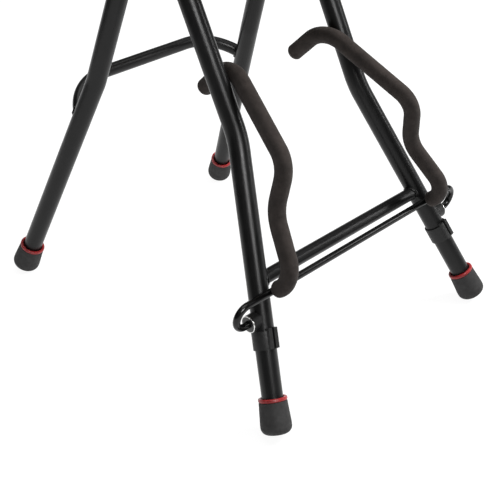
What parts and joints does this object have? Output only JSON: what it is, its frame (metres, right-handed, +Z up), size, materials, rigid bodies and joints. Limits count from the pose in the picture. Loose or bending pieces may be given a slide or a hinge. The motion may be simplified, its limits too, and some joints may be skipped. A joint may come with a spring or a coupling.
{
  "type": "folding stool with guitar rack",
  "caption": "Folding guitarist's seat on splayed tube legs, with a padded fold-out guitar rack pivoted on the front legs.",
  "frame": {"origin": "on the floor, midway between the outermost points of the feet", "axes": "+X to the right seen from the front, +Y to the back, +Z up; the guitar rack is on the -Y side"},
  "size_m": [0.427, 0.5346, 0.6011],
  "materials": {
    "black_paint": "satin",
    "bare_steel": "satin",
    "zinc": "satin",
    "black_plastic": "satin",
    "foot_rubber": "matte",
    "ring_red": "satin",
    "foam": "matte",
    "seat_vinyl": "satin",
    "plywood": "matte"
  },
  "bodies": {
    "front_frame": {"front_leg_left": "black_paint", "front_leg_right": "black_paint", "front_top_bar": "black_paint", "front_crossbar": "black_paint", "hinge_bracket_left": "black_paint", "hinge_bracket_right": "black_paint", "stop_collar_left": "black_plastic", "stop_collar_right": "black_plastic", "pivot_spacer_left": "black_plastic", "pivot_spacer_right": "black_plastic", "front_foot_left": "foot_rubber", "front_foot_right": "foot_rubber", "front_foot_ring_left": "ring_red", "front_foot_ring_right": "ring_red", "front_foot_discs": "zinc"},
    "rear_frame": {"rear_leg_left": "black_paint", "rear_leg_right": "black_paint", "rear_top_bar": "black_paint", "rear_stretcher": "black_paint", "stretcher_end_left": "black_paint", "stretcher_end_right": "black_paint", "stop_lugs": "black_paint", "rear_foot_left": "foot_rubber", "rear_foot_right": "foot_rubber", "rear_foot_ring_left": "ring_red", "rear_foot_ring_right": "ring_red", "rear_foot_discs": "zinc"},
    "cradle": {"cradle_rod": "black_paint", "cradle_hook_left": "black_paint", "cradle_hook_right": "black_paint", "pivot_washer_left": "zinc", "pivot_washer_right": "zinc", "arm_rod_left": "bare_steel", "arm_rod_right": "bare_steel", "arm_foam_left": "foam", "arm_foam_right": "foam"},
    "seat": {"seat_board": "plywood", "seat_cushion": "seat_vinyl", "seat_plate": "black_paint", "seat_strap_left": "black_paint", "seat_strap_right": "black_paint", "seat_rest_left": "black_plastic", "seat_rest_right": "black_plastic", "seat_screws": "zinc", "tee_nuts": "zinc"}
  },
  "joints": [
    {"name": "rear_fold", "type": "hinge", "parent": "front_frame", "child": "rear_frame", "pos_m": [0, 0.04606, 0.522], "axis": [1, 0, 0], "range_deg": [-46, 0]},
    {"name": "cradle_fold", "type": "hinge", "parent": "front_frame", "child": "cradle", "pos_m": [0, -0.19315, 0.12351], "axis": [1, 0, 0], "range_deg": [0, 99.5]},
    {"name": "seat_tip", "type": "hinge", "parent": "front_frame", "child": "seat", "pos_m": [0, 0.01606, 0.522], "axis": [1, 0, 0], "range_deg": [0, 62]}
  ]
}
